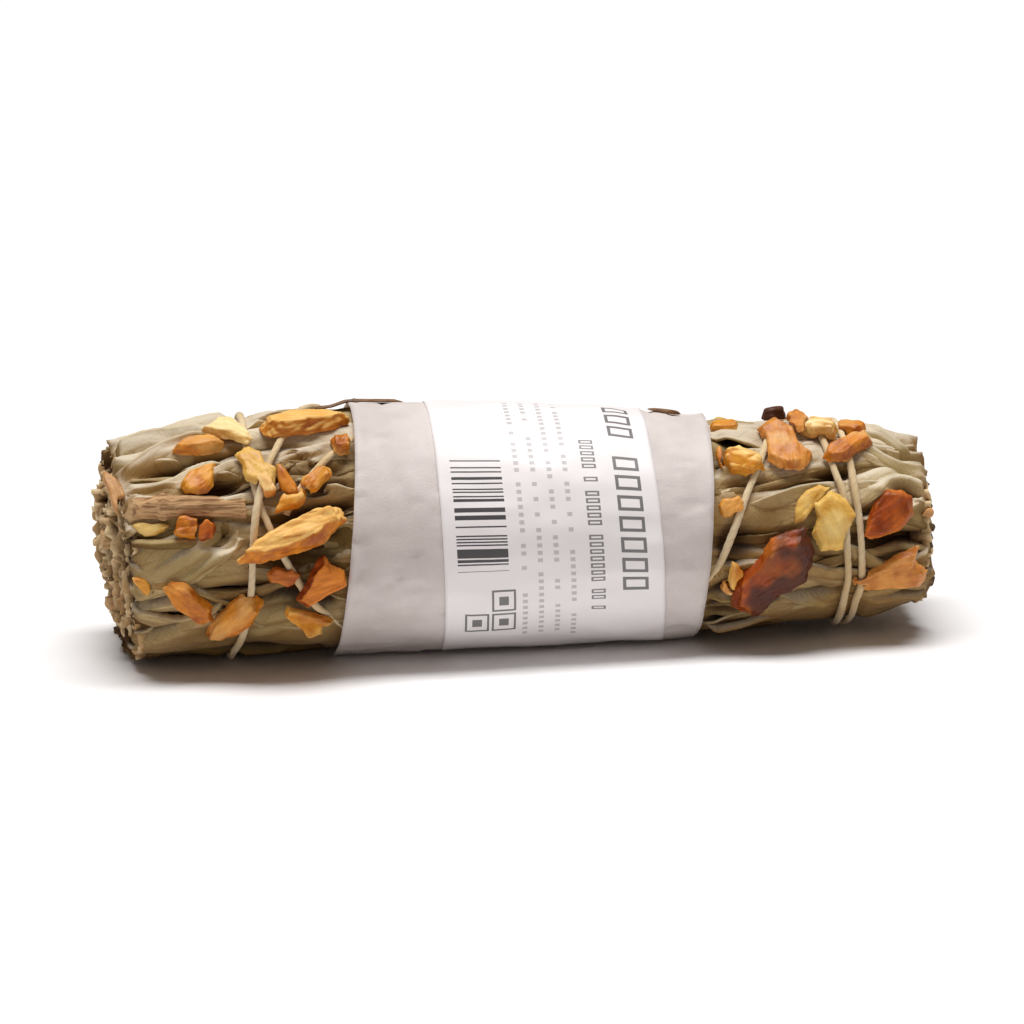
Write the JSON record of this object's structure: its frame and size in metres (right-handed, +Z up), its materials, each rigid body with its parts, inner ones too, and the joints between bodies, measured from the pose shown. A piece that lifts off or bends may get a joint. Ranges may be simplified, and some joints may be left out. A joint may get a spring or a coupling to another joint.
{
  "type": "herb smudge stick",
  "caption": "Small bundle of dried sage leaves and twigs bound with cotton string, stuck over with dried garlic slivers and wrapped in a paper band with a blank label.",
  "frame": {"origin": "on the table under the stick: the middle of the flat underside of the paper band", "axes": "+X along the stick towards its slimmer end, +Y from the labelled front to the back, +Z up"},
  "size_m": [0.1017, 0.0335, 0.0305],
  "materials": {
    "sage_leaf": "dry, felted, grey green to olive brown",
    "woody_stem": "dry bark with fine lengthwise grain",
    "cotton_string": "undyed twisted cotton",
    "band_paper": "matt paper with soft creases",
    "label_paper": "smooth coated paper, blank but for plain bars",
    "garlic_amber": "dried garlic, waxy, amber orange",
    "garlic_gold": "dried garlic, waxy, golden",
    "garlic_straw": "dried garlic, thin and pale yellow",
    "garlic_peach": "dried garlic, pinkish tan",
    "garlic_rust": "dried garlic, deep red brown",
    "garlic_cream": "dried garlic, creamy",
    "garlic_umber": "dried garlic skin, dark brown"
  },
  "bodies": {
    "root": {"sage_bundle": "sage_leaf", "woody_stem_front": "woody_stem", "woody_stem_inner_1": "woody_stem", "woody_stem_inner_2": "woody_stem", "woody_stem_inner_3": "woody_stem", "cotton_string": "cotton_string", "paper_band": "band_paper", "label_sticker": "label_paper", "garlic_l_wedge_top": "garlic_amber", "garlic_l_peel_top": "garlic_umber", "garlic_l_fan_top": "garlic_cream", "garlic_l_sliver_top": "garlic_amber", "garlic_l_skin_middle": "garlic_straw", "garlic_l_drop_upper": "garlic_gold", "garlic_l_crescent_twig": "garlic_straw", "garlic_l_block_twig": "garlic_amber", "garlic_l_chip_twig": "garlic_rust", "garlic_l_strip_rim": "garlic_gold", "garlic_l_kidney_low": "garlic_amber", "garlic_l_chunk_low": "garlic_amber", "garlic_l_clove_front": "garlic_amber", "garlic_l_chip_pale": "garlic_peach", "garlic_l_chip_upright": "garlic_amber", "garlic_l_drop_middle": "garlic_gold", "garlic_l_kidney_middle": "garlic_gold", "garlic_l_cube_band": "garlic_amber", "garlic_l_chip_dark": "garlic_rust", "garlic_l_fan_band": "garlic_rust", "garlic_l_flat_low": "garlic_gold", "garlic_l_peel_rim": "garlic_umber", "garlic_r_strip_top": "garlic_gold", "garlic_r_chunk_band": "garlic_gold", "garlic_r_sliver_band": "garlic_amber", "garlic_r_flake_peach": "garlic_peach", "garlic_r_lobe_peach": "garlic_peach", "garlic_r_peel_band": "garlic_umber", "garlic_r_bead_dark": "garlic_umber", "garlic_r_bead_tan": "garlic_cream", "garlic_r_chip_upper": "garlic_amber", "garlic_r_kidney_upper": "garlic_amber", "garlic_r_crescent_pale": "garlic_straw", "garlic_r_flake_pale": "garlic_straw", "garlic_r_drop_rust": "garlic_rust", "garlic_r_clove_dark": "garlic_rust", "garlic_r_drop_band": "garlic_gold", "garlic_r_lump_band": "garlic_peach", "garlic_r_chip_band": "garlic_amber", "garlic_r_flake_low": "garlic_peach", "garlic_r_chip_rim": "garlic_umber", "garlic_back_1_1": "garlic_peach", "garlic_back_1_2": "garlic_rust", "garlic_back_1_3": "garlic_amber", "garlic_back_1_4": "garlic_straw", "garlic_back_1_5": "garlic_amber", "garlic_back_1_6": "garlic_gold", "garlic_back_2_1": "garlic_amber", "garlic_back_2_2": "garlic_gold", "garlic_back_2_3": "garlic_peach", "garlic_back_3_1": "garlic_amber", "garlic_back_3_2": "garlic_straw"}
  },
  "joints": []
}
